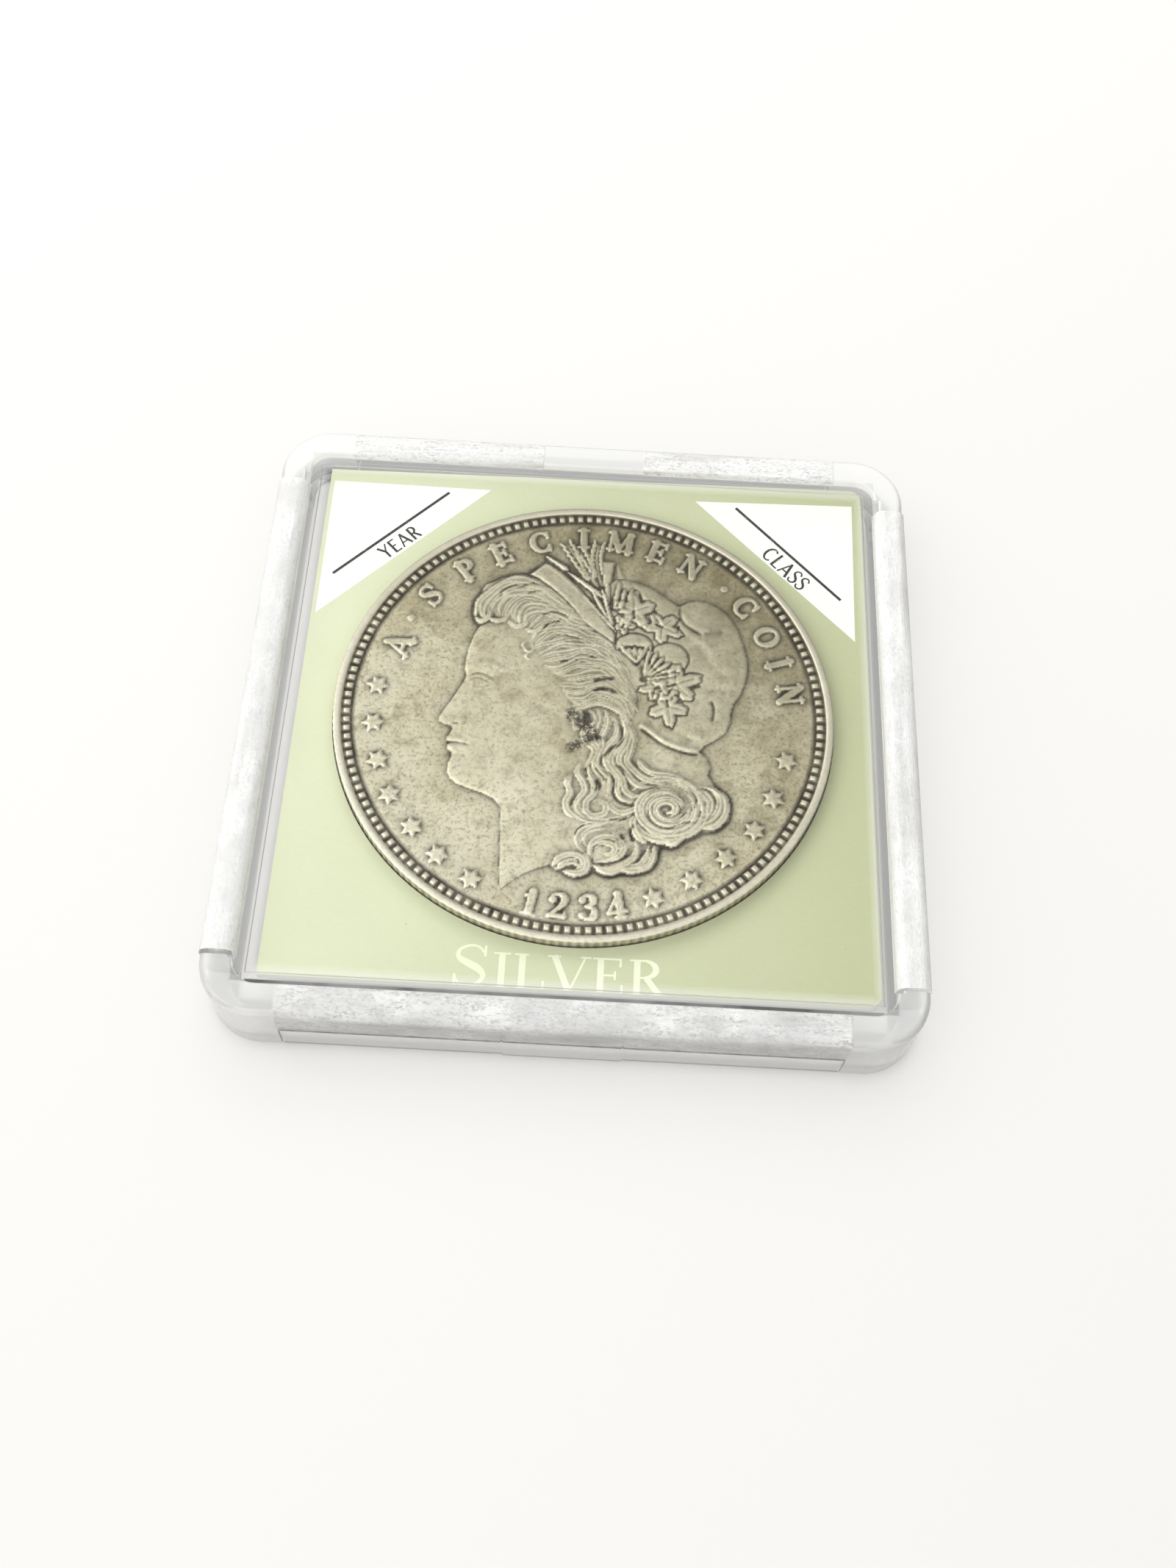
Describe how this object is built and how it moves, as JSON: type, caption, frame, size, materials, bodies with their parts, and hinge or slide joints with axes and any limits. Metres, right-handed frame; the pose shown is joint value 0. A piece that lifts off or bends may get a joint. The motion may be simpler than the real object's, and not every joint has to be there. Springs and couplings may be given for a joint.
{
  "type": "snap-together coin holder with coin",
  "caption": "Square clear snap-together holder with frosted rims, a printed card insert with a round opening, and a large reeded coin held between two windows.",
  "frame": {"origin": "centre of the holder's footprint, on the plane it rests on", "axes": "+Z out of the front window, +Y towards the top edge of the card, +X towards the right-hand edge seen from the front"},
  "size_m": [0.0508, 0.0508, 0.0065],
  "materials": {
    "clear_plastic": "polished windows, fine frosted rims",
    "printed_card": "smooth printed board, sage green with cream",
    "coin_silver": "worn struck silver with warm toning"
  },
  "bodies": {
    "back": {"back_shell": "clear_plastic"},
    "front": {"front_shell": "clear_plastic"},
    "card": {"insert_card": "printed_card"},
    "coin_body": {"coin": "coin_silver"}
  },
  "joints": [
    {"name": "lid_lift", "type": "slide", "parent": "back", "child": "front", "axis": [0, 0, 1], "range_m": [0, 0.03]},
    {"name": "insert_lift", "type": "slide", "parent": "back", "child": "card", "axis": [0, 0, 1], "range_m": [0, 0.01]},
    {"name": "coin_lift", "type": "slide", "parent": "back", "child": "coin_body", "axis": [0, 0, 1], "range_m": [0, 0.02]}
  ],
  "couplings": [
    {"joint": "insert_lift", "follows": "lid_lift", "ratio": 0.3333},
    {"joint": "coin_lift", "follows": "lid_lift", "ratio": 0.6666}
  ]
}
